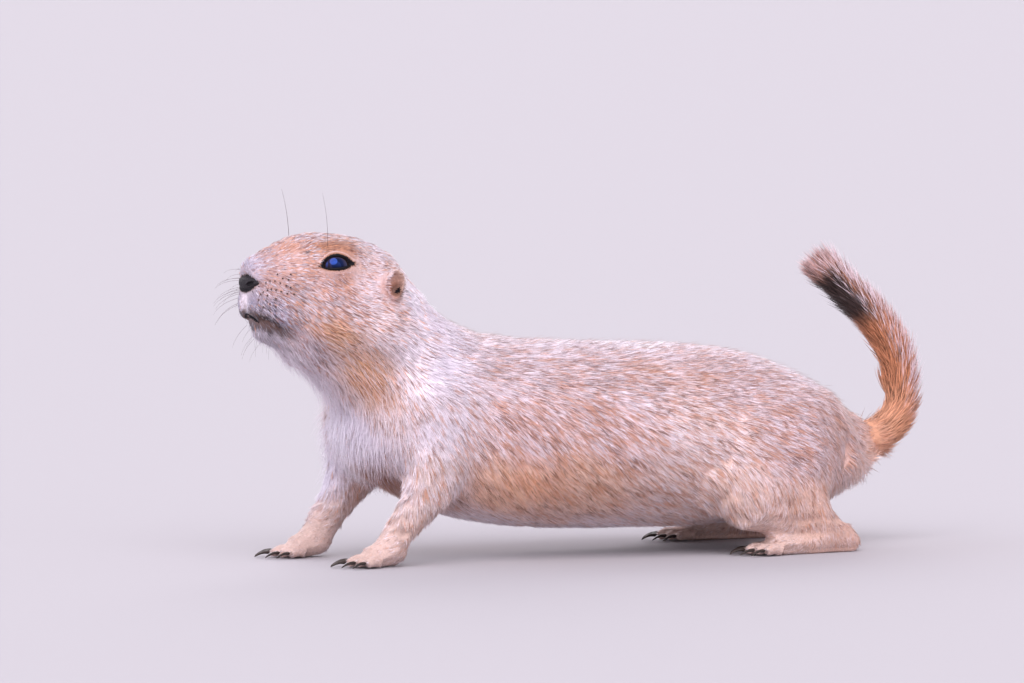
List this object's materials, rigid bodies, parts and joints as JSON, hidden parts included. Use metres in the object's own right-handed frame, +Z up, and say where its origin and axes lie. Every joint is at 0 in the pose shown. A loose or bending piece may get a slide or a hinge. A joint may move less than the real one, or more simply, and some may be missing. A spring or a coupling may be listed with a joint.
{
  "type": "prairie dog",
  "caption": "Life-size still model of a black-tailed prairie dog on all fours, low body, head raised and furred tail curved up over the rump.",
  "frame": {"origin": "on the floor, under the middle of the whole model's bounding box", "axes": "+X runs from the head to the tail, the animal's right side is +Y, +Z is up"},
  "size_m": [0.3016, 0.1002, 0.1487],
  "materials": {
    "fur": "short buff fur flecked with cinnamon",
    "pale_fur": "short cream fur",
    "tail_fur": "short cinnamon fur",
    "dark_fur": "bristly tail hair with a black end",
    "nose": "matt, finely pebbled bare skin",
    "eye": "wet black gloss",
    "claw": "dark horn",
    "whisker": "single stiff hair"
  },
  "bodies": {
    "root": {"neck": "pale_fur", "chest": "pale_fur", "belly": "fur", "rump": "fur", "tail_root": "tail_fur", "eye_left": "eye", "eye_right": "eye", "lower_jaw": "pale_fur", "nose": "nose", "ear_left": "fur", "ear_right": "fur", "brow_hair_left": "whisker", "brow_hair_right": "whisker", "head": "fur", "foreleg_left": "fur", "forefoot_left": "fur", "claw_fore_left_1": "claw", "claw_fore_left_2": "claw", "claw_fore_left_3": "claw", "claw_fore_left_4": "claw", "claw_fore_left_5": "claw", "hindleg_left": "fur", "hindfoot_left": "fur", "claw_hind_left_1": "claw", "claw_hind_left_2": "claw", "claw_hind_left_3": "claw", "claw_hind_left_4": "claw", "claw_hind_left_5": "claw", "foreleg_right": "fur", "forefoot_right": "fur", "claw_fore_right_1": "claw", "claw_fore_right_2": "claw", "claw_fore_right_3": "claw", "claw_fore_right_4": "claw", "claw_fore_right_5": "claw", "hindleg_right": "fur", "hindfoot_right": "fur", "claw_hind_right_1": "claw", "claw_hind_right_2": "claw", "claw_hind_right_3": "claw", "claw_hind_right_4": "claw", "claw_hind_right_5": "claw", "tail": "dark_fur"}
  },
  "joints": []
}
